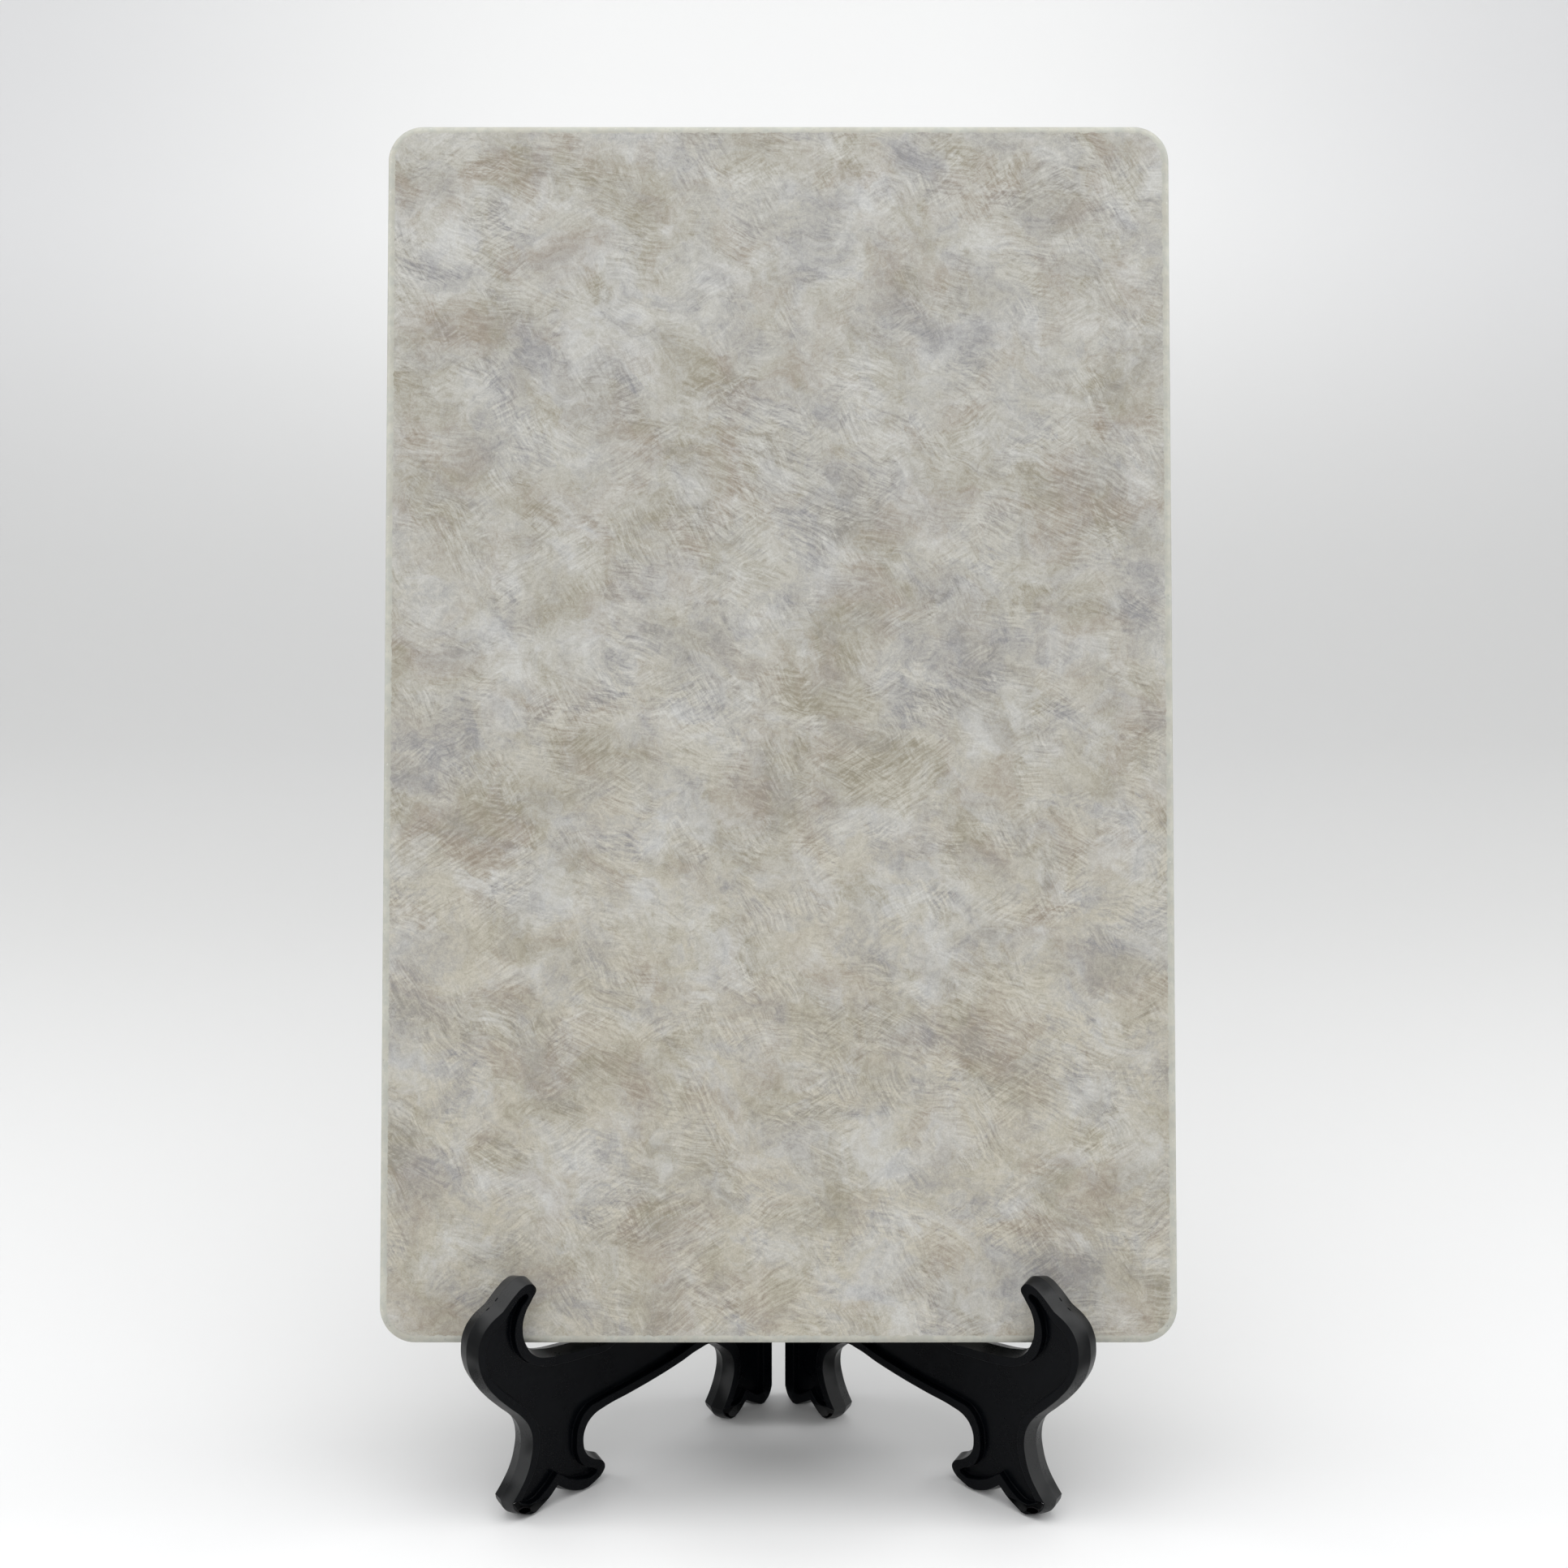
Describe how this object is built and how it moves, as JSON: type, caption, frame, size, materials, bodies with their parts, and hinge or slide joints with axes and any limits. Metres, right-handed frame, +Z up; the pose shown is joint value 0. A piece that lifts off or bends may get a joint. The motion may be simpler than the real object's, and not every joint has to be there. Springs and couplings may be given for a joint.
{
  "type": "granite slab on a folding easel",
  "caption": "Pale stone tooling slab leaning on a black plastic folding easel, hooks at its lower edge, arms hinged behind it.",
  "frame": {"origin": "centre of the footprint of the whole object's box, on the floor", "axes": "+Z up, slab face towards -Y, left arm of the easel on -X"},
  "size_m": [0.2, 0.126, 0.3384],
  "materials": {
    "stone": "honed",
    "black_plastic": "satin",
    "pin_steel": "bright drawn"
  },
  "bodies": {
    "hinge": {"hinge_pin": "pin_steel"},
    "slab": {"slab": "stone"},
    "left_arm": {"left_arm": "black_plastic"},
    "right_arm": {"right_arm": "black_plastic"}
  },
  "joints": [
    {"name": "slab_lift", "type": "slide", "parent": "hinge", "child": "slab", "axis": [0, 0, 1], "range_m": [0, 0.12]},
    {"name": "left_fold", "type": "hinge", "parent": "hinge", "child": "left_arm", "pos_m": [0, 0.00973, 0.09], "axis": [0, 0, 1], "range_deg": [0, 45]},
    {"name": "right_fold", "type": "hinge", "parent": "hinge", "child": "right_arm", "pos_m": [0, 0.00973, 0.09], "axis": [0, 0, -1], "range_deg": [0, 45]}
  ],
  "couplings": [
    {"joint": "left_fold", "follows": "slab_lift", "rad_per_m": 6.54},
    {"joint": "right_fold", "follows": "slab_lift", "rad_per_m": 6.54}
  ]
}
